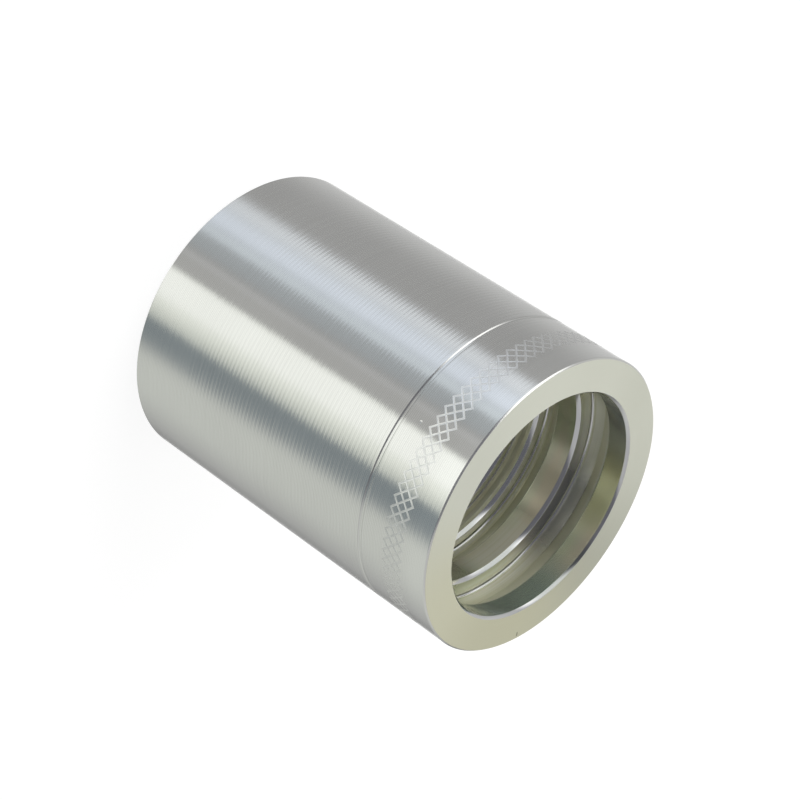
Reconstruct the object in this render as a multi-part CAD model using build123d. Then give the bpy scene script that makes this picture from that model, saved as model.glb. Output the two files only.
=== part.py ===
from build123d import *
from math import radians, tan
import os

# Crimp hose ferrule, one turned piece, in millimetres.
# It stands on its fitting end: the axis is +Z and the hose end is at the top.
# Depths are measured down from the hose end's face.

# Hose end: the bore is that of the lip and of every ridge crest
HOSE_BORE_DIAMETER = 33.4
LIP_LENGTH = 3.4
LIP_CHAMFER = 0.4

# Groove walls, in degrees from square to the axis: the wall toward the
# hose end lies back and the wall toward the fitting end stands steep
BACK_WALL_LEAN = 49.0
STEEP_WALL_LEAN = 6.0
CREST_CHAMFER = 0.5

# First groove, behind the lip, and the wall that is left outside it
FIRST_GROOVE_DEPTH = 2.65
FIRST_GROOVE_FLOOR = 2.35
WALL_OVER_FIRST_GROOVE = 2.65

# Second groove, behind the wide ridge
WIDE_RIDGE_CREST = 3.25
SECOND_GROOVE_DEPTH = 1.9
SECOND_GROOVE_FLOOR = 1.15

# Narrow ridges with the grooves behind them
RIDGE_COUNT = 5
RIDGE_CREST = 0.55
RIDGE_GROOVE_DEPTH = 1.4
RIDGE_GROOVE_FLOOR = 0.75

# Fitting end: a plain bore, then a collar that stands in around the insert
PLAIN_BORE_LENGTH = 12.75
COLLAR_HEIGHT = 4.0
COLLAR_LENGTH = 6.0
COLLAR_CHAMFER = 0.5
SHOULDER_LEAN = 45.0

# Outside
END_CHAMFER = 0.22
SCRIBE_DEPTH_FROM_FACE = 11.94
SCRIBE_WIDTH = 0.7
SCRIBE_DEPTH = 0.17
SCRIBE_WALL_LEAN = 45.0

# Radii
BORE_RADIUS = HOSE_BORE_DIAMETER / 2
OUTER_RADIUS = BORE_RADIUS + FIRST_GROOVE_DEPTH + WALL_OVER_FIRST_GROOVE
COLLAR_RADIUS = BORE_RADIUS - COLLAR_HEIGHT


def run_along(height, lean):
    """Length along the axis of a wall of this height that leans off square."""
    return height * tan(radians(lean))


def groove(start, depth, floor):
    """Back wall, floor, steep wall and crest chamfer of one bore groove."""
    floor_radius = BORE_RADIUS + depth
    floor_start = start + run_along(depth, BACK_WALL_LEAN)
    floor_end = floor_start + floor
    wall_end = floor_end + run_along(depth - CREST_CHAMFER, STEEP_WALL_LEAN)
    return [
        (BORE_RADIUS, start),
        (floor_radius, floor_start),
        (floor_radius, floor_end),
        (BORE_RADIUS + CREST_CHAMFER, wall_end),
        (BORE_RADIUS, wall_end + CREST_CHAMFER),
    ]


def ridged_bore():
    """Bore from the lip to the last narrow ridge, as radius and depth."""
    outline = [(BORE_RADIUS + LIP_CHAMFER, 0), (BORE_RADIUS, LIP_CHAMFER)]
    outline += groove(LIP_LENGTH, FIRST_GROOVE_DEPTH, FIRST_GROOVE_FLOOR)
    second_start = outline[-1][1] + WIDE_RIDGE_CREST
    outline += groove(second_start, SECOND_GROOVE_DEPTH, SECOND_GROOVE_FLOOR)
    for _ in range(RIDGE_COUNT):
        start = outline[-1][1] + RIDGE_CREST
        outline += groove(start, RIDGE_GROOVE_DEPTH, RIDGE_GROOVE_FLOOR)
    return outline


def fitting_bore(start):
    """Plain bore, shoulder and collar bore, down to the fitting end."""
    shoulder_start = start + PLAIN_BORE_LENGTH
    collar_start = shoulder_start + run_along(COLLAR_HEIGHT, SHOULDER_LEAN)
    end = collar_start + COLLAR_LENGTH
    return [
        (BORE_RADIUS, shoulder_start),
        (COLLAR_RADIUS, collar_start),
        (COLLAR_RADIUS, end - COLLAR_CHAMFER),
        (COLLAR_RADIUS + COLLAR_CHAMFER, end),
    ]


def outside(length):
    """Outside from the fitting end back up to the hose end's face."""
    scribe_end = SCRIBE_DEPTH_FROM_FACE + SCRIBE_WIDTH / 2
    scribe_start = SCRIBE_DEPTH_FROM_FACE - SCRIBE_WIDTH / 2
    scribe_wall = run_along(SCRIBE_DEPTH, SCRIBE_WALL_LEAN)
    return [
        (OUTER_RADIUS - END_CHAMFER, length),
        (OUTER_RADIUS, length - END_CHAMFER),
        (OUTER_RADIUS, scribe_end),
        (OUTER_RADIUS - SCRIBE_DEPTH, scribe_end - scribe_wall),
        (OUTER_RADIUS - SCRIBE_DEPTH, scribe_start + scribe_wall),
        (OUTER_RADIUS, scribe_start),
        (OUTER_RADIUS, END_CHAMFER),
        (OUTER_RADIUS - END_CHAMFER, 0),
    ]


def turned_body():
    """Half section turned about the axis."""
    outline = ridged_bore()
    outline += fitting_bore(outline[-1][1])
    length = outline[-1][1]
    outline += outside(length)
    section = [(radius, 0, length - depth) for radius, depth in outline]
    face = make_face(Polyline(*section, close=True))
    return revolve(face, Axis.Z)


ferrule = turned_body()
print("length", ferrule.bounding_box().size.Z, "outer diameter", 2 * OUTER_RADIUS)

os.makedirs("parts", exist_ok=True)
export_step(ferrule, "parts/ferrule_shell.step")
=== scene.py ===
# %% [markdown]
# # A crimp ferrule for hydraulic hose
#
# A ferrule is a thick steel sleeve. A hose is pushed into its ridged bore, and
# a press squeezes the sleeve until the ridges bite. This one is turned from
# bar, plated with zinc, and carries a band of diamond knurl near the hose end
# and a scribed ring behind it.
#
# The lesson models it in metres, standing on its fitting end with its axis on
# Z. It takes the turned shape from the CAD part, rounds the corners, presses
# in the knurl, and then builds the finishes and a small studio.

from math import cos, hypot, pi, radians, sin, sqrt

import bpy
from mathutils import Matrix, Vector


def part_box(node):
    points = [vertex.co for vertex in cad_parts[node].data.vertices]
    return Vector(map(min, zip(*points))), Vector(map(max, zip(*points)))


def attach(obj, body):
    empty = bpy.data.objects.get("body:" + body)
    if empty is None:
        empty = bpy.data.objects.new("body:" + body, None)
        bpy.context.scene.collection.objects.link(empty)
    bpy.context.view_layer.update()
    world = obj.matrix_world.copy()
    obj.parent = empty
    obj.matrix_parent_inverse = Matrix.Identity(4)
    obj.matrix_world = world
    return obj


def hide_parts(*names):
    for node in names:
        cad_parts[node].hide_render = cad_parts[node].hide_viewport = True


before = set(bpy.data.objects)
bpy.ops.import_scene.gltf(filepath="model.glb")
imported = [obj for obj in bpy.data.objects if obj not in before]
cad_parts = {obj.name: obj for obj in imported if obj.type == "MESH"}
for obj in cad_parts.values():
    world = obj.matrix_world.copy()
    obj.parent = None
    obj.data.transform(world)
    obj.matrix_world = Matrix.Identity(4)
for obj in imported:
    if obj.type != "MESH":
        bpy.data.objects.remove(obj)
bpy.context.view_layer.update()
MM = 0.001
NODE = "ferrule_shell"
_, high_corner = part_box(NODE)
HEIGHT = high_corner.z
OUTER_RADIUS = high_corner.x
print("height", HEIGHT / MM, "mm, outer radius", OUTER_RADIUS / MM, "mm")

# %% [markdown]
# ## Working as by hand
#
# Blender's mesh operators act on what is selected. A few small helpers make
# that safe in a script: one leaves a single object selected, and others select
# all of a mesh, or the points or edges that pass a test on their place. The
# test runs in object mode, because selection marks written there are read when
# edit mode starts.

# %% Selecting in code
FINE = 1e-6


def only(piece):
    """Leaves one object selected and active."""
    bpy.ops.object.select_all(action="DESELECT")
    piece.select_set(True)
    bpy.context.view_layer.objects.active = piece


def object_mode():
    bpy.ops.object.mode_set(mode="OBJECT")


def edit(action, kind="VERT"):
    """Edit mode on points or edges, with all of them selected or none."""
    bpy.ops.object.mode_set(mode="EDIT")
    bpy.ops.mesh.select_mode(type=kind)
    bpy.ops.mesh.select_all(action=action)


def pick_points(piece, test):
    """Edit mode with the points selected whose place passes the test."""
    edit("DESELECT")
    object_mode()
    for point in piece.data.vertices:
        point.select = bool(test(point.co))
    bpy.ops.object.mode_set(mode="EDIT")


def pick_edges(piece, test):
    """Edit mode with the edges selected whose two ends pass the test."""
    edit("DESELECT", "EDGE")
    object_mode()
    for edge in piece.data.edges:
        start, end = (piece.data.vertices[index].co for index in edge.vertices)
        edge.select = bool(test(start, end))
    bpy.ops.object.mode_set(mode="EDIT")


def weld(piece):
    """Joins the points of the active piece that lie in one place."""
    before = len(piece.data.vertices)
    edit("SELECT")
    bpy.ops.mesh.remove_doubles(threshold=FINE)
    object_mode()
    print("points welded", before - len(piece.data.vertices))


# %% [markdown]
# ## The turned outline
#
# On a lathe the whole ferrule comes from one outline that turns about the
# axis. The outline could be typed in again, but then two files would hold the
# same sizes. Here a copy of the CAD mesh is cut by a plane through the axis,
# and only the cut is kept, so the outline is always the part's own. A limited
# dissolve removes the points that lie on a straight run.

# %% Cut the outline out of a copy of the CAD mesh
ferrule = bpy.data.objects.new("ferrule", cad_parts[NODE].data.copy())
bpy.context.scene.collection.objects.link(ferrule)
only(ferrule)
weld(ferrule)
edit("SELECT")
bpy.ops.mesh.bisect(
    plane_co=(0, 0, 0),
    plane_no=(0, 1, 0),
    clear_inner=True,
    clear_outer=True,
    threshold=FINE,
)
pick_points(ferrule, lambda place: place.x < 0)
bpy.ops.mesh.delete(type="VERT")
bpy.ops.mesh.select_all(action="SELECT")
bpy.ops.mesh.dissolve_limited(angle_limit=radians(1))
object_mode()
print("outline corners", len(ferrule.data.vertices))

# %% [markdown]
# ## Rounded corners
#
# A turning tool has a round nose, so it leaves a small fillet at the foot of
# each steep groove wall, and every outer corner is broken a little by the
# plating drum. These tiny radii catch the light as thin bright lines, which is
# much of what makes machined metal look real. Beveling points, with the
# vertices option, rounds the corners of an outline before it is turned.
#
# Corners are chosen by what meets there: a fillet goes where a groove's floor
# meets its steep wall, and all others get the small break.

# %% Find the feet of the steep groove walls
COLLAR_TOP = 10 * MM
LEAST_WALL = 2 * MM
STEEP_RUN = 0.3


def beside_each(piece):
    """For each point of an outline, the places of the two points beside it."""
    beside = {point.index: [] for point in piece.data.vertices}
    for edge in piece.data.edges:
        first, second = edge.vertices
        beside[first].append(piece.data.vertices[second].co.copy())
        beside[second].append(piece.data.vertices[first].co.copy())
    return beside


def is_level(place, other):
    """Two places at one radius, as on a floor or a crest."""
    return abs(place.x - other.x) < FINE


def is_steep(place, other):
    """Two places on a wall that runs little along the axis as it rises."""
    return abs(place.z - other.z) < STEEP_RUN * abs(place.x - other.x)


floor_feet = []
for index, beside in beside_each(ferrule).items():
    place = ferrule.data.vertices[index].co
    in_grooves = place.z > COLLAR_TOP and place.x < OUTER_RADIUS - LEAST_WALL
    has_floor = any(is_level(place, other) for other in beside)
    has_wall = any(is_steep(place, other) for other in beside)
    if in_grooves and has_floor and has_wall:
        floor_feet.append(place.copy())
print("groove floors that get a fillet", len(floor_feet))

# %% Round the corners of the outline
CORNER_BREAK = 0.055 * MM
BREAK_STEPS = 3
FILLET_STEPS = 5

# The floors that lie beyond a radius get its fillet, the deepest floor first
FLOOR_FILLETS = (
    (19.0 * MM, 0.62 * MM),
    (18.4 * MM, 0.72 * MM),
    (17.5 * MM, 0.4 * MM),
)

corners = [point.co.copy() for point in ferrule.data.vertices]


def is_one_of(place, places):
    return any((place - other).length < FINE for other in places)


def is_plain_corner(place):
    return is_one_of(place, corners) and not is_one_of(place, floor_feet)


pick_points(ferrule, is_plain_corner)
bpy.ops.mesh.bevel(offset=CORNER_BREAK, segments=BREAK_STEPS, affect="VERTICES")
object_mode()
upper_limit = OUTER_RADIUS
for least_radius, fillet in FLOOR_FILLETS:
    pick_points(
        ferrule,
        lambda place: least_radius < place.x < upper_limit and is_one_of(place, floor_feet),
    )
    bpy.ops.mesh.bevel(offset=fillet, segments=FILLET_STEPS, affect="VERTICES")
    object_mode()
    upper_limit = least_radius
print("outline points", len(ferrule.data.vertices))

# %% [markdown]
# ## Room for the knurl
#
# The knurl is rolled into a narrow band below the hose end. Its lines cross at
# 45 degrees, so one number sets the whole pattern: how many lines there are
# each way round. The band is two diamonds high, and the strip that is modelled
# for it has half a diamond more above and below. Two cuts across the outline
# leave a gap of that height.

# %% Sizes of the knurl, and the gap for it in the outline
KNURL_LINES = 84
KNURL_DEPTH_FROM_FACE = 5.975 * MM
GROOVE_WIDTH = 0.3 * MM
GROOVE_DEPTH = 0.035 * MM

# Heights from the middle of the band, counted in half diamonds
BAND_HALVES = 2
STRIP_HALVES = 3

PITCH = 2 * pi * OUTER_RADIUS / KNURL_LINES
HALF = PITCH / 2
knurl_middle = HEIGHT - KNURL_DEPTH_FROM_FACE
gap_low = knurl_middle - STRIP_HALVES * HALF
gap_high = knurl_middle + STRIP_HALVES * HALF
print("knurl pitch", round(PITCH / MM, 4), "mm")

for level in (gap_low, gap_high):
    edit("SELECT")
    bpy.ops.mesh.bisect(plane_co=(0, 0, level), plane_no=(0, 0, 1), threshold=FINE)
object_mode()


def is_at_gap(place):
    on_level = min(abs(place.z - gap_low), abs(place.z - gap_high)) < FINE
    return on_level and abs(place.x - OUTER_RADIUS) < FINE


pick_edges(ferrule, lambda start, end: is_at_gap(start) and is_at_gap(end))
bpy.ops.mesh.delete(type="EDGE")
object_mode()
print("outline edges", len(ferrule.data.edges))

# %% [markdown]
# ## Turning
#
# Spin does what the lathe does. It takes two steps for each knurl line, so the
# rims of the gap get the same points as the strip that fills it.

# %% Turn the outline about the axis
TURN_STEPS = 2 * KNURL_LINES
edit("SELECT")
bpy.ops.mesh.spin(steps=TURN_STEPS, angle=2 * pi, center=(0, 0, 0), axis=(0, 0, 1))
object_mode()
weld(ferrule)
print("turned faces", len(ferrule.data.polygons))

# %% [markdown]
# ## One pitch of knurl
#
# Real knurl is rolled: a hard wheel presses crossed grooves into the turned
# surface. Modelled as hundreds of cuts it would be slow, and a bump texture
# would vanish at the outline and in the finished mesh. So one pitch is
# modelled flat and repeated.
#
# A flat grid stands in for the unrolled surface. Joining every other point
# across the squares draws the crossed lines, and a bevel widens each line to a
# strip. A vertical cut on either side leaves exactly one pitch.

# %% Draw the crossed lines on a flat grid
LINE_STEPS = 4

bpy.ops.object.select_all(action="DESELECT")
bpy.ops.mesh.primitive_grid_add(
    x_subdivisions=2 * STRIP_HALVES,
    y_subdivisions=2 * STRIP_HALVES,
    size=2 * STRIP_HALVES * HALF,
    rotation=(pi / 2, 0, 0),
)
knurl = bpy.context.active_object
knurl.name = "knurl"
bpy.ops.object.transform_apply(rotation=True)


def is_crossing(place):
    """Every other point of the grid, apart from its top and bottom rows."""
    column = round(place.x / HALF)
    row = round(place.z / HALF)
    return (column + row) % 2 == 0 and abs(row) < STRIP_HALVES


def is_slanted(start, end):
    return abs(start.x - end.x) > FINE and abs(start.z - end.z) > FINE


pick_points(knurl, is_crossing)
bpy.ops.mesh.vert_connect()
object_mode()
pick_edges(knurl, is_slanted)
bpy.ops.mesh.bevel(offset=GROOVE_WIDTH / 2, segments=LINE_STEPS, affect="EDGES")
for side in (-1, 1):
    bpy.ops.mesh.select_all(action="SELECT")
    bpy.ops.mesh.bisect(
        plane_co=(side * HALF, 0, 0),
        plane_no=(side, 0, 0),
        clear_outer=True,
        threshold=FINE / 10,
    )
object_mode()
print("faces in one pitch", len(knurl.data.polygons))

# %% [markdown]
# ## Pressing the lines in
#
# The strip's points now sink by their distance from the nearest line, which
# gives each groove a round bottom. The pads between the grooves stay at the
# turned size, as on the real part, where the roll only presses inwards.

# %% Sink the lines to round-bottomed grooves
def from_line(along):
    """Distance from the nearest of the lines of one direction."""
    beyond = abs(along) % PITCH
    return min(beyond, PITCH - beyond) / sqrt(2)


deepest = 0
for point in knurl.data.vertices:
    across = min(
        from_line(point.co.x + point.co.z),
        from_line(point.co.x - point.co.z),
    )
    in_band = abs(point.co.z) < BAND_HALVES * HALF + FINE
    if in_band and across < GROOVE_WIDTH / 2 - FINE:
        point.co.y = GROOVE_DEPTH * (1 - (2 * across / GROOVE_WIDTH) ** 2)
    deepest = max(deepest, point.co.y)
print("groove depth", deepest / MM, "mm")

# %% [markdown]
# ## Rolling the strip up
#
# An Array modifier lays the pitches in a row, and a Simple Deform bend of a
# full turn rolls the row into a ring. The row's length is the ferrule's own
# girth, so the ring comes out at the ferrule's radius, with the corners of
# every pad on it.

# %% Array and bend the knurl, and lift it to the gap
only(knurl)
row = knurl.modifiers.new("row", "ARRAY")
row.count = KNURL_LINES
row.use_relative_offset = False
row.use_constant_offset = True
row.constant_offset_displace = (PITCH, 0, 0)
row.use_merge_vertices = True
row.merge_threshold = FINE
bpy.ops.object.modifier_apply(modifier=row.name)
ring = knurl.modifiers.new("ring", "SIMPLE_DEFORM")
ring.deform_method = "BEND"
ring.deform_axis = "Z"
ring.angle = 2 * pi
bpy.ops.object.modifier_apply(modifier=ring.name)
weld(knurl)
edit("SELECT")
bpy.ops.transform.translate(value=(0, -OUTER_RADIUS, knurl_middle))
object_mode()

ring_radii = [hypot(point.co.x, point.co.y) for point in knurl.data.vertices]
print("knurl radii", min(ring_radii) / MM, max(ring_radii) / MM)

# %% [markdown]
# ## One closed piece
#
# The sleeve is one piece of metal, so the ring is joined to the body and their
# rims are welded. A search for open points shows that no seam is left. Then
# the whole piece is turned a little about its axis, which changes nothing in
# the body and brings the diamonds to where they are on the real one.

# %% Join ring and body, and close the seams
only(ferrule)
knurl.select_set(True)
bpy.ops.object.join()
weld(ferrule)
edit("SELECT")
bpy.ops.mesh.normals_make_consistent(inside=False)
bpy.ops.mesh.select_all(action="DESELECT")
bpy.ops.mesh.select_non_manifold()
object_mode()
open_points = sum(point.select for point in ferrule.data.vertices)
print("faces", len(ferrule.data.polygons), "open points", open_points)

# %% Turn the piece to the knurl's place
KNURL_TURN = radians(-2.6)
edit("SELECT")
bpy.ops.transform.rotate(
    value=KNURL_TURN,
    orient_axis="Z",
    center_override=(0, 0, 0),
)
object_mode()

# %% [markdown]
# ## Smooth shading that keeps flats flat
#
# Smooth shading averages the directions of the faces round each point, and a
# tiny rounded corner would bend the light over the wide face beside it. The
# Weighted Normal modifier lets large faces outvote small ones, so the end face
# stays flat right up to its rim. Edges steeper than a set angle stay crisp:
# here that is a few at the tips of the knurl's pads.

# %% Shade the piece
CRISP_ANGLE = radians(28)
FACE_AREA_WEIGHT = 100
only(ferrule)
bpy.ops.object.shade_smooth_by_angle(angle=CRISP_ANGLE)
weighted = ferrule.modifiers.new("weighted", "WEIGHTED_NORMAL")
weighted.keep_sharp = True
weighted.weight = FACE_AREA_WEIGHT
bpy.ops.object.modifier_apply(modifier=weighted.name)
print("triangles", sum(len(face.vertices) - 2 for face in ferrule.data.polygons))

# %% [markdown]
# Each pad between the knurl's grooves is one face, and as a flat one it would
# mirror a single spot of the room. The real pads are what is left of the turned
# surface, so their corners get the directions of a true cylinder. The same is
# done for every face that lies wholly on the outside radius.

# %% Point the corners on the turned outside straight out from the axis
normals = [corner.vector.copy() for corner in ferrule.data.corner_normals]
rounded = 0
for polygon in ferrule.data.polygons:
    places = [ferrule.data.vertices[index].co for index in polygon.vertices]
    if all(hypot(place.x, place.y) > OUTER_RADIUS - FINE for place in places):
        for loop, place in zip(polygon.loop_indices, places):
            normals[loop] = Vector((place.x, place.y, 0)).normalized()
        rounded += 1
ferrule.data.normals_split_custom_set(normals)
print("faces shaded as a true cylinder", rounded)

# %% [markdown]
# ## Shader maths in plain Python
#
# A finish needs sums on values that change over the surface, and each sum is a
# Math node. Written node by node they hide what is meant. The small class here
# wraps a socket, so that an expression such as 1 - mask * 0.3 adds its nodes
# by itself. One more method adds any other kind of node.

# %% A value, and the node tree that it lives in
class Value:
    """A number that changes over the surface. An expression adds Math nodes."""

    def __init__(self, finish, socket):
        self.finish = finish
        self.socket = socket

    def math(self, operation, *others):
        """A Math node with this value in its first socket."""
        return self.finish.math(operation, self, *others)

    def __add__(self, other):
        return self.math("ADD", other)

    def __sub__(self, other):
        return self.math("SUBTRACT", other)

    def __mul__(self, other):
        return self.math("MULTIPLY", other)

    def __truediv__(self, other):
        return self.math("DIVIDE", other)

    def __rsub__(self, other):
        return self.finish.math("SUBTRACT", other, self)

    def __rtruediv__(self, other):
        return self.finish.math("DIVIDE", other, self)

    __radd__ = __add__
    __rmul__ = __mul__


class Finish:
    """A node tree that is written as expressions."""

    def __init__(self, tree):
        self.tree = tree
        tree.nodes.clear()

    def node(self, kind, settings=None, sockets=None):
        """Adds a node: its settings first, then what its sockets get."""
        node = self.tree.nodes.new(kind)
        for name, setting in (settings or {}).items():
            setattr(node, name, setting)
        for name, content in (sockets or {}).items():
            self.feed(node.inputs[name], content)
        return node

    def feed(self, socket, content):
        """Links a value or an output to the socket, or writes a constant."""
        if isinstance(content, Value):
            content = content.socket
        if isinstance(content, bpy.types.NodeSocket):
            self.tree.links.new(content, socket)
        else:
            socket.default_value = content

    def value(self, output):
        return Value(self, output)

    def math(self, operation, *operands):
        sockets = dict(enumerate(operands))
        node = self.node("ShaderNodeMath", {"operation": operation}, sockets)
        return self.value(node.outputs[0])

    def band(self, value, low, high):
        """0 below low, 1 above high, and smooth between."""
        settings = {"interpolation_type": "SMOOTHSTEP"}
        sockets = {"Value": value, "From Min": low, "From Max": high}
        node = self.node("ShaderNodeMapRange", settings, sockets)
        return self.value(node.outputs[0])

    def between(self, value, low, high, soft):
        """1 from low to high, fading to 0 over the soft length on either side."""
        return self.band(value, low - soft, low) - self.band(value, high, high + soft)

    def blend(self, mask, first, second):
        """Colour that goes from first to second as the mask goes to 1."""
        settings = {"data_type": "RGBA"}
        node = self.node("ShaderNodeMix", settings, {0: mask, 6: first, 7: second})
        return node.outputs[2]

    def vector(self, x, y, z):
        sockets = {"X": x, "Y": y, "Z": z}
        return self.node("ShaderNodeCombineXYZ", None, sockets).outputs[0]

    def noise(self, vector, scale, detail=2.0, roughness=0.5):
        """Soft noise about 0.5. The scale is roughly the clouds to a metre."""
        sockets = {
            "Vector": vector,
            "Scale": scale,
            "Detail": detail,
            "Roughness": roughness,
        }
        node = self.node("ShaderNodeTexNoise", None, sockets)
        return self.value(node.outputs["Fac"])


def rgb(red, green, blue):
    return (red, green, blue, 1.0)


def grey(level):
    return rgb(level, level, level)


# %% [markdown]
# ## Plated, turned steel
#
# Turning leaves feed marks, fine grooves that run round the part. They spread
# a reflection along the axis and leave it sharp round it, so a turned sleeve
# shows light and dark bands that run its whole length. The shader does the
# same with its anisotropic setting: with no tangent linked it follows the
# circle round Z, and a quarter turn lays the long way of the highlight along
# the axis.
#
# The marks themselves are fine rings: an even wave at the pitch of the cut,
# and a noise that is stretched round the part and fine along it. They tint
# the metal a little, and shape it by a few thousandths of a millimetre.
#
# Every finish on the ferrule also knows its place: the depth below the face,
# the radius, and the turn about the axis in degrees. So a tint can be laid on
# one ridge or on one side.

# %% A finish of the ferrule, with its place and its metal
FEED = 0.68 * MM
FINE_FEED = 0.28 * MM
STRETCH = 15.0
QUARTER_TURN = 0.25


def new_material(name):
    material = bpy.data.materials.new(name)
    material.use_nodes = True
    return material


class Surface(Finish):
    """The finish of one material of the ferrule."""

    def __init__(self, name):
        self.material = new_material(name)
        super().__init__(self.material.node_tree)
        self.place = self.node("ShaderNodeTexCoord").outputs["Object"]
        parts = self.node("ShaderNodeSeparateXYZ", None, {0: self.place}).outputs
        self.x, self.y, self.z = (self.value(part) for part in parts)
        self.radius = (self.x * self.x + self.y * self.y).math("SQRT")
        self.depth = HEIGHT - self.z

    def cloud(self, scale):
        """Noise that is the same size in every direction."""
        return self.noise(self.place, scale, detail=3.0)

    def stretched(self, across, along):
        """Coordinates for a noise that differs in size round and along the part."""
        return self.vector(self.x * across, self.y * across, along)

    def uneven_rings(self, along, spacing):
        """Noise from 0 to 1 that runs round the part in rings."""
        place = self.stretched(STRETCH, along / spacing)
        return self.noise(place, 1.0, detail=3.0, roughness=0.6)

    def even_rings(self, pitch):
        """A wave from -1 to 1 at an even pitch along the part."""
        return (self.z * (2 * pi / pitch)).math("SINE")

    def round_to(self, turn, full, faded):
        """1 within the full angle of a turn about the axis, 0 past the faded one."""
        turn = radians(turn)
        facing = (self.x * cos(turn) + self.y * sin(turn)) / self.radius
        return self.band(facing, cos(radians(faded)), cos(radians(full)))

    def spot(self, turn, depth, size, core=0.3):
        """1 in the core of a spot on the outside, fading to 0 at its size."""
        turn = radians(turn)
        middle = (OUTER_RADIUS * cos(turn), OUTER_RADIUS * sin(turn), HEIGHT - depth)
        settings = {"operation": "DISTANCE"}
        node = self.node("ShaderNodeVectorMath", settings, {0: self.place, 1: middle})
        distance = self.value(node.outputs["Value"])
        return 1 - self.band(distance, size * core, size)

    def relief(self, height, depth):
        """Bump whose full height is the given depth."""
        sockets = {"Strength": 1.0, "Distance": depth, "Height": height}
        return self.node("ShaderNodeBump", None, sockets).outputs[0]

    def metal(self, anisotropic, sockets):
        """Metal shader whose highlight is long across the feed marks."""
        defaults = {
            "Metallic": 1.0,
            "Anisotropic": anisotropic,
            "Anisotropic Rotation": QUARTER_TURN,
        }
        shader = self.node("ShaderNodeBsdfPrincipled", None, {**defaults, **sockets})
        self.node("ShaderNodeOutputMaterial", None, {0: shader.outputs[0]})
        print("finish", self.material.name, "has", len(self.tree.nodes), "nodes")


# %% [markdown]
# ## The outside
#
# Clear zinc is close to neutral grey. Each turn of the tool leaves a shallow
# scallop, a few thousandths of a millimetre deep, and a finer one inside it.
# On the turned sides of the sleeve they tilt the reflection to and fro, so the
# edges of the bands look like a fine comb, and the even parts stay smooth.
# They are deepest over the middle of the sleeve, and fade out toward the
# fitting end. The plating is a little brighter by the face, where fingers
# seldom hold it. A small dent and a fainter one are left from handling.

# %% The clear zinc of the outside
OUTSIDE_DARK = rgb(0.61, 0.61, 0.595)
OUTSIDE_PALE = rgb(0.72, 0.724, 0.705)

# Depths below the face between which the paler part ends and the cut changes
PALER_PART = (1 * MM, 6 * MM)
KNURLED_PART = (10 * MM, 12 * MM)
FAR_PART = (42 * MM, 50 * MM)

# Relief: the depth of the scallops, and what else there is as shares of it
SCALLOP_DEPTH = 0.0055 * MM
KNURLED_PART_LOSS = 0.6
FINE_SHARE = 0.4
WOBBLE_SHARE = 2
DENT_SHARE = 5

# Marks of handling: turn in degrees, depth below the face, and size
DENT = (-91.5, 9.17 * MM, 0.22 * MM)
GRAZE = (-93.0, 27.6 * MM, 0.3 * MM)


def outside_finish():
    finish = Surface("zinc_outside")
    marks = finish.uneven_rings(finish.z, FEED / 2)
    fine_rings = finish.even_rings(FINE_FEED)
    far_part = finish.band(finish.depth, *FAR_PART)
    knurled_part = 1 - finish.band(finish.depth, *KNURLED_PART)
    cut = 1 - far_part - knurled_part * KNURLED_PART_LOSS
    scallops = (finish.even_rings(FEED) + fine_rings * FINE_SHARE) * cut
    wobble = finish.noise(finish.stretched(400, finish.z / FEED), 1.0)
    height = scallops + wobble * WOBBLE_SHARE
    height = height - finish.spot(*DENT) * DENT_SHARE - finish.spot(*GRAZE)
    paler_part = 1 - finish.band(finish.depth, *PALER_PART)
    paleness = finish.cloud(90.0) * 0.5 + marks * 0.5
    paleness = paleness + fine_rings * 0.25 + paler_part * 0.45
    sockets = {
        "Base Color": finish.blend(paleness, OUTSIDE_DARK, OUTSIDE_PALE),
        "Roughness": 0.2 + (marks - 0.5) * 0.1,
        "Normal": finish.relief(height, SCALLOP_DEPTH),
    }
    finish.metal(1.0, sockets)
    return finish.material


outside = outside_finish()

# %% [markdown]
# ## The rolled lines
#
# The knurl's lines are not cut but pressed, and the plating lies thicker in
# them. They have no feed marks, so their rough metal spreads a reflection
# evenly, and they read as thin pale wires in front of dark and light bands.
# On one side they are painted brighter, which is a painted highlight.

# %% The rough metal of the rolled lines
ROLLED_DARK = rgb(0.63, 0.63, 0.62)
ROLLED_PALE = rgb(0.75, 0.75, 0.735)
# The colour of the painted highlight on one side of the lines
PAINTED_LINE_HIGHLIGHT = rgb(0.84, 0.84, 0.825)

# Turn about the axis, full angle and faded angle, in degrees
LINE_HIGHLIGHT_SIDE = (-95, 10, 34)


def knurl_finish():
    finish = Surface("zinc_knurl")
    cloud = finish.cloud(300.0)
    colour = finish.blend(cloud, ROLLED_DARK, ROLLED_PALE)
    # Painted highlight: the lines are painted brighter on one side
    colour = finish.blend(finish.round_to(*LINE_HIGHLIGHT_SIDE), colour, PAINTED_LINE_HIGHLIGHT)
    finish.metal(0.0, {"Base Color": colour, "Roughness": 0.4 + cloud * 0.1})
    return finish.material


rolled = knurl_finish()

# %% [markdown]
# ## The face
#
# The end face is faced off on the lathe and has a pale, flat look with a cream
# cast from the plating. It is painted darker on one side, a mottled painted
# shade, with fainter painted shade on another side. Next to the dark side it is
# yellower and darker, a yellow tint with painted shade in it. One short nick
# crosses the outer edge.

# %% The cream of the face
CREAM = rgb(0.68, 0.692, 0.61)
# Painted shade on one side of the face, and a yellow tint that holds painted shade too
PAINTED_SHADE_ON_FACE = rgb(0.45, 0.455, 0.375)
YELLOW_SHADED_CREAM = rgb(0.57, 0.555, 0.395)
NICK = rgb(0.26, 0.26, 0.19)

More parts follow.
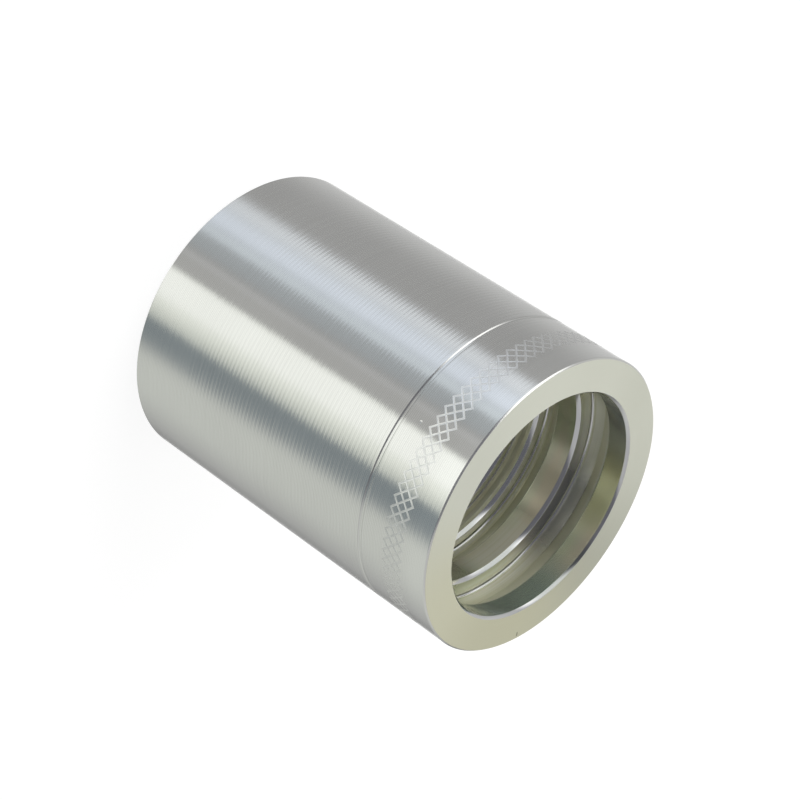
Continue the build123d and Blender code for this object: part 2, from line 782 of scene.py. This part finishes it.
# Turn about the axis, full angle and faded angle, in degrees
SHADED_SIDE_OF_FACE = (52, 8, 74)
FAINTER_SHADE_SIDE = (142, 0, 50)
YELLOW_SHADED_SIDE = (5, 15, 85)
NICK_TURN = (39, 0.15, 0.45)

# First radius, last radius and the soft length beside them
NICK_REACH = (20.8 * MM, 21.4 * MM, 0.1 * MM)


def face_finish():
    finish = Surface("zinc_face")
    marks = finish.uneven_rings(finish.radius, FEED / 2)
    # Painted shade: darker on one side, mottled, and fainter on another; the yellow side is
    # painted darker too
    painted_shade_and_mottle = finish.round_to(*SHADED_SIDE_OF_FACE) + (finish.cloud(70.0) - 0.5) * 0.3
    painted_shade_and_mottle = painted_shade_and_mottle + finish.round_to(*FAINTER_SHADE_SIDE) * 0.2
    yellower_and_shaded = finish.round_to(*YELLOW_SHADED_SIDE) * 0.7
    nick = finish.round_to(*NICK_TURN) * finish.between(finish.radius, *NICK_REACH)
    colour = finish.blend(painted_shade_and_mottle, CREAM, PAINTED_SHADE_ON_FACE)
    colour = finish.blend(yellower_and_shaded, colour, YELLOW_SHADED_CREAM)
    sockets = {
        "Base Color": finish.blend(nick, colour, NICK),
        "Roughness": 0.4 + (marks - 0.5) * 0.05,
        "Normal": finish.relief(marks, 0.002 * MM),
    }
    finish.metal(0.6, sockets)
    return finish.material


face = face_finish()

# %% [markdown]
# ## The bore
#
# The bore is harder for the plating bath to reach, so its film is thinner and
# shows as olive, with pink and green tints where its thickness changes. The
# lip is yellow in one place, and greener or darker in two others. On one side
# the floor of the first groove is painted a darker grey, which is painted
# shade. Deeper in, toward the plain run, the film is brighter.
#
# The film is a little cloudy, so a share of the shader is not metal. On the
# groove walls and on one side of some crests a painted highlight is laid on: a
# pale colour with less metal in it, and brighter streaks along the rings. Each
# such patch is a stretch of depth, cut to one side of the bore, so a table of
# patches says all of it.

# %% Stretches and patches of the bore
OLIVE = rgb(0.64, 0.65, 0.51)
PALE_OLIVE = rgb(0.74, 0.72, 0.62)
PINK_FILM = rgb(0.80, 0.68, 0.58)
GREEN_FILM = rgb(0.64, 0.74, 0.54)
PLAIN_RUN = rgb(0.84, 0.84, 0.74)
# Painted shade on one side of the first groove's floor
PAINTED_FLOOR_SHADE = rgb(0.50, 0.50, 0.50)
# Painted highlight: a pale colour and its brighter streaks
PAINTED_HIGHLIGHT_PALE = rgb(0.86, 0.85, 0.66)
PAINTED_HIGHLIGHT_STREAK = rgb(1.0, 1.0, 0.90)

# Levels of a noise between which the pink starts, the green ends and a streak starts
PINK_STARTS = (0.50, 0.66)
GREEN_ENDS = (0.34, 0.50)
STREAK_STARTS = (0.42, 0.58)

# Depths below the face between which the lip ends and the plain run starts
LIP_ENDS = (3.3 * MM, 3.6 * MM)
PLAIN_RUN_STARTS = (20 * MM, 34 * MM)

# Stretches of the bore: first depth, last depth and the soft length beside them
FIRST_BACK_WALL = (3.7 * MM, 6.2 * MM, 0.3 * MM)
FIRST_GROOVE = (4.2 * MM, 8.6 * MM, 0.6 * MM)
FIRST_FLOOR = (6.6 * MM, 8.9 * MM, 0.4 * MM)
WIDE_CREST = (9.4 * MM, 12.8 * MM, 0.2 * MM)
PAST_WIDE_CREST = (13.1 * MM, HEIGHT, 0.2 * MM)
NARROW_CREST = (15.5 * MM, 17.4 * MM, 0.3 * MM)

# Turn about the axis, full angle and faded angle in degrees
FLOOR_SHADE_SIDE = (105, 12, 45)

# The same, and the tint
LIP_TINTS = (
    (118, 10, 32, rgb(0.68, 0.68, 0.45)),
    (40, 12, 40, rgb(0.48, 0.57, 0.51)),
    (160, 10, 38, rgb(0.42, 0.44, 0.40)),
)

# Patches of painted highlight on the bore
# Stretch, then turn, full angle and faded angle in degrees, and the strength
PAINTED_HIGHLIGHT_PATCHES = (
    (FIRST_BACK_WALL, 104, 46, 78, 0.8),
    (PAST_WIDE_CREST, 104, 46, 78, 0.8),
    (FIRST_GROOVE, 50, 8, 30, 1.0),
    (FIRST_GROOVE, 132, 9, 26, 0.9),
    (WIDE_CREST, 60, 4, 26, 0.6),
    (NARROW_CREST, 101, 3, 14, 1.0),
)
print("patches of bloom", len(PAINTED_HIGHLIGHT_PATCHES))


# %% The olive of the bore
def bore_film(finish, plain_run):
    """Colour of the film without the painted highlight, with painted shade on one side of
    the first groove's floor.
    """
    tint = finish.noise(finish.stretched(60, finish.z * 200), 1.0)
    pink = finish.band(tint, *PINK_STARTS)
    green = 1 - finish.band(tint, *GREEN_ENDS)
    colour = finish.blend(finish.cloud(110.0), OLIVE, PALE_OLIVE)
    colour = finish.blend(pink * 0.5, colour, PINK_FILM)
    colour = finish.blend(green * 0.6, colour, GREEN_FILM)
    colour = finish.blend(plain_run, colour, PLAIN_RUN)
    on_lip = 1 - finish.band(finish.depth, *LIP_ENDS)
    for turn, full, faded, lip_tint in LIP_TINTS:
        colour = finish.blend(on_lip * finish.round_to(turn, full, faded), colour, lip_tint)
    # Painted shade: the floor of the first groove is painted grey on one side
    floor_shade = finish.between(finish.depth, *FIRST_FLOOR) * finish.round_to(*FLOOR_SHADE_SIDE)
    return finish.blend(floor_shade, colour, PAINTED_FLOOR_SHADE)


def bore_painted_highlight(finish):
    """How much painted highlight lies on the film."""
    painted_highlight = 0
    for stretch, turn, full, faded, strength in PAINTED_HIGHLIGHT_PATCHES:
        patch = finish.between(finish.depth, *stretch)
        painted_highlight = painted_highlight + patch * finish.round_to(turn, full, faded) * strength
    return painted_highlight


def bore_finish():
    finish = Surface("zinc_bore")
    marks = finish.uneven_rings(finish.z + finish.radius, FEED)
    # Painted highlight: a pale, streaked colour with less metal in it
    painted_highlight = bore_painted_highlight(finish)
    painted_streaks = finish.band(marks, *STREAK_STARTS)
    painted_highlight_colour = finish.blend(painted_streaks, PAINTED_HIGHLIGHT_PALE, PAINTED_HIGHLIGHT_STREAK)
    plain_run = finish.band(finish.depth, *PLAIN_RUN_STARTS)
    film = bore_film(finish, plain_run)
    sockets = {
        "Metallic": 0.8 + plain_run * 0.2 - painted_highlight * 0.7,
        "Base Color": finish.blend(painted_highlight, film, painted_highlight_colour),
        "Roughness": 0.22 + (marks - 0.5) * 0.12,
        "Normal": finish.relief(marks, 0.003 * MM),
    }
    finish.metal(0.9, sockets)
    return finish.material


bore = bore_finish()

# %% [markdown]
# ## The edges in the bore
#
# The small chamfers on the lip and the ridge crests are cut last and with a
# fresh edge. They are the brightest metal in the bore, and mirror the room
# above as thin clear lines. On one side they are darker.

# %% The bright metal of the bore's edges
EDGE_DARK = rgb(0.54, 0.54, 0.56)
EDGE_PALE = rgb(0.66, 0.67, 0.66)
EDGE_DULL = rgb(0.30, 0.31, 0.30)

# Depths below the face between which the lip's chamfer ends and the crests start
CHAMFER_ENDS = (0.5 * MM, 1 * MM)
CRESTS_START = (1 * MM, 8 * MM)

# Turn about the axis, full angle and faded angle, in degrees
DULL_LIP = (67, 10, 27)
DULL_CRESTS = (55, 5, 17)


def edge_finish():
    finish = Surface("zinc_edge")
    cloud = finish.cloud(150.0)
    on_lip = 1 - finish.band(finish.depth, *CHAMFER_ENDS)
    on_crests = finish.band(finish.depth, *CRESTS_START)
    duller = on_crests * finish.round_to(*DULL_CRESTS) + on_lip * finish.round_to(*DULL_LIP)
    colour = finish.blend(cloud, EDGE_DARK, EDGE_PALE)
    colour = finish.blend(duller, colour, EDGE_DULL)
    finish.metal(0.7, {"Base Color": colour, "Roughness": 0.1 + cloud * 0.06})
    return finish.material


edge = edge_finish()

# %% [markdown]
# ## Which face gets which finish
#
# The finishes go on by place: the flat ends, what lies near the outer radius,
# the sunk faces of the knurl, the chamfers that face up in the bore, and the
# rest of the bore.

# %% Give the faces their finish
FINISHES = (outside, rolled, face, bore, edge)
OUTSIDE, ROLLED, FACE, BORE, EDGE = range(len(FINISHES))
END_REACH = 0.1 * MM
OUTSIDE_REACH = 0.6 * MM
FLAT = 0.9
SLANTED = 0.5


def finish_of(polygon):
    """Which finish a face gets, by its place and by how far it faces up."""
    centre = polygon.center
    at_end = centre.z < END_REACH or centre.z > HEIGHT - END_REACH
    if at_end and abs(polygon.normal.z) > FLAT:
        return FACE
    if hypot(centre.x, centre.y) > OUTER_RADIUS - OUTSIDE_REACH:
        points = [ferrule.data.vertices[index].co for index in polygon.vertices]
        sunk = any(hypot(point.x, point.y) < OUTER_RADIUS - FINE for point in points)
        return ROLLED if sunk and gap_low < centre.z < gap_high else OUTSIDE
    if SLANTED < polygon.normal.z < FLAT:
        return EDGE
    return BORE


ferrule.data.materials.clear()
for material in FINISHES:
    ferrule.data.materials.append(material)
for polygon in ferrule.data.polygons:
    polygon.material_index = finish_of(polygon)
given = [polygon.material_index for polygon in ferrule.data.polygons]
for index, material in enumerate(FINISHES):
    print("faces with", material.name, given.count(index))

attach(ferrule, "root")
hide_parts(NODE)

# %% [markdown]
# ## The floor
#
# The floor is plain and pale, and so is the background. A share of its light
# is its own, for the eye alone, so it reads as white paper, and the rest is
# lit, so the ferrule's shadow stays. Mirror rays pass it by: the metal then
# shows the studio below the horizon too, as it does when held in the hand.

# %% Lay the floor
FLOOR_SIZE = 6.0
PAPER_GLOW = 0.82
PAPER_GREY = grey(0.32)

bpy.ops.mesh.primitive_plane_add(size=FLOOR_SIZE)
floor = bpy.context.active_object
floor.name = "floor"


def seen_by_eye(finish):
    """1 for rays from the camera, straight or through glass, and else 0."""
    path = finish.node("ShaderNodeLightPath").outputs
    return finish.value(path["Is Camera Ray"]) + path["Is Transmission Ray"]


def paper_finish():
    paper = new_material("paper")
    finish = Finish(paper.node_tree)
    glow = {"Color": grey(1.0), "Strength": seen_by_eye(finish) * PAPER_GLOW}
    own_light = finish.node("ShaderNodeEmission", None, glow)
    lit = finish.node("ShaderNodeBsdfDiffuse", None, {"Color": PAPER_GREY})
    both = {0: own_light.outputs[0], 1: lit.outputs[0]}
    shown = finish.node("ShaderNodeAddShader", None, both)
    finish.node("ShaderNodeOutputMaterial", None, {0: shown.outputs[0]})
    return paper


floor.data.materials.append(paper_finish())
floor.visible_glossy = False
floor.visible_shadow = False
print("floor", FLOOR_SIZE, "m wide")

# %% [markdown]
# ## The studio
#
# Polished or turned metal is only what it reflects. The studio is built in the
# world: pale all round, with tall soft boxes and darker gaps between them. Each
# box is a range of compass directions, so it makes one band down the sleeve.
# The compass is read as the cosine of the angle to the box's middle, which has
# no seam where the angle wraps round.

# %% A world that can be lit by compass directions
world = bpy.data.worlds.new("studio")
world.use_nodes = True
bpy.context.scene.world = world
studio = Finish(world.node_tree)
direction = studio.node("ShaderNodeTexCoord").outputs["Generated"]
parts = studio.node("ShaderNodeSeparateXYZ", None, {0: direction}).outputs
east, north, up = (studio.value(part) for part in parts)
level_run = (east * east + north * north + FINE).math("SQRT")


def towards(heading, full, faded):
    """1 within the full angle of a compass heading, fading to 0 by the other."""
    heading = radians(heading)
    facing = (east * cos(heading) + north * sin(heading)) / level_run
    angle = facing.math("MINIMUM", 1.0).math("ARCCOSINE")
    return 1 - studio.band(angle, radians(full), radians(faded))


def with_boxes(light, boxes):
    """Sets boxes before a light, each one in front of those that came earlier."""
    for heading, full, faded, box_light in boxes:
        light = studio.blend(towards(heading, full, faded), light, box_light)
    return light


# %% Soft boxes round the horizon
BETWEEN_BOXES = grey(0.44)

# Heading, full angle and faded angle in degrees, and the light of the box
ROUND_THE_HORIZON = (
    (-117, 4, 14, rgb(0.48, 0.51, 0.53)),
    (-2, 8, 66, rgb(0.74, 0.76, 0.72)),
    (107, 5, 66, grey(0.70)),
    (66, 5, 12, grey(0.30)),
    (90, 11, 20, grey(1.62)),
    (-38.5, 7, 22, rgb(0.28, 0.32, 0.34)),
    (-68, 18.5, 21.5, rgb(0.84, 0.87, 0.80)),
    (-68, 7, 17, rgb(1.12, 1.15, 1.07)),
    (-76, 8, 15.5, rgb(1.31, 1.33, 1.28)),
    (-97, 4, 13, rgb(0.55, 0.55, 0.54)),
    (-102, 1, 3.5, grey(0.60)),
    (-140, 17.5, 20, rgb(0.74, 0.79, 0.86)),
    (-125, 1.5, 4, rgb(0.84, 0.91, 0.97)),
    (-129.5, 0.5, 2.5, rgb(0.69, 0.74, 0.80)),
    (-137.5, 4, 8.5, rgb(0.94, 1.01, 1.13)),
    (-153.5, 4, 8, rgb(0.93, 0.97, 1.03)),
)
round_about = with_boxes(BETWEEN_BOXES, ROUND_THE_HORIZON)
print("boxes round the horizon", len(ROUND_THE_HORIZON))

# %% [markdown]
# The chamfers in the bore lean upwards, so they mirror what is overhead. It is
# pale, with a dark gap over the camera, which the chamfers that face the
# camera mirror, and one bright box, which lights up those on one side.

# %% Light from above
RAISED = (0.15, 0.42)
STRAIGHT_UP = (0.93, 0.99)
HIGH_WALLS = grey(0.62)
CEILING = grey(0.8)
OVERHEAD = (
    (90, 30, 80, rgb(0.82, 0.82, 0.80)),
    (-80, 45, 65, rgb(0.17, 0.17, 0.19)),
    (-165, 14, 34, rgb(2.0, 2.0, 1.98)),
)
above = with_boxes(HIGH_WALLS, OVERHEAD)
above = studio.blend(studio.band(up, *STRAIGHT_UP), above, CEILING)
light = studio.blend(studio.band(up, *RAISED), round_about, above)
print("boxes overhead", len(OVERHEAD))

# %% [markdown]
# The two tall boxes in front are brighter toward the horizon, as a lamp behind
# a sheet is. The feed marks tilt the reflection up and down, so inside these
# two bands they show as a fine weave. The gradient turns about the direction
# that the side of the sleeve mirrors to the camera, so it changes no level.
# The camera itself sees plain white.

# %% Let the front boxes fade downwards, and light the world
MIRRORED_UP = -0.545
FADE = 0.45
HORIZON = (-0.2, 0.1)
RIGHT_BOX = (-70, 12, 22)
LEFT_BOX = (-142, 12, 20)
in_front = towards(*RIGHT_BOX) + towards(*LEFT_BOX)
below = 1 - studio.band(up, *HORIZON)
fade = (up - MIRRORED_UP) * FADE * in_front * below
by_eye = seen_by_eye(studio)
shining = {
    "Color": studio.blend(by_eye, light, grey(1.0)),
    "Strength": 1 + fade * (1 - by_eye),
}
background = studio.node("ShaderNodeBackground", None, shining)
studio.node("ShaderNodeOutputWorld", None, {0: background.outputs[0]})
print("nodes in the studio", len(world.node_tree.nodes))

# %% [markdown]
# ## The camera
#
# The photograph was fitted for its camera: where it stands, how far it looks
# down, how it is rolled, and its lens. The photograph shows the ferrule lying
# on a slant, and here it stands upright, so it is the camera that is rolled.

# %% Place the camera
CAMERA_PLACE = (-1.42 * MM, -280.84 * MM, HEIGHT + 156.61 * MM)
CAMERA_TILT = radians(56.67)
CAMERA_ROLL = radians(123.4)
LENS = 109.91
SENSOR = 36.0
NEAREST_SEEN = 10 * MM

camera_data = bpy.data.cameras.new("camera")
camera_data.lens = LENS
camera_data.sensor_width = SENSOR
camera_data.clip_start = NEAREST_SEEN
camera = bpy.data.objects.new("camera", camera_data)
bpy.context.scene.collection.objects.link(camera)
camera.rotation_mode = "ZYX"
camera.rotation_euler = (CAMERA_TILT, 0, CAMERA_ROLL)
camera.location = CAMERA_PLACE
bpy.context.scene.camera = camera
bpy.context.scene.view_settings.view_transform = "Standard"
print("camera at", [round(part / MM, 2) for part in camera.location], "mm")
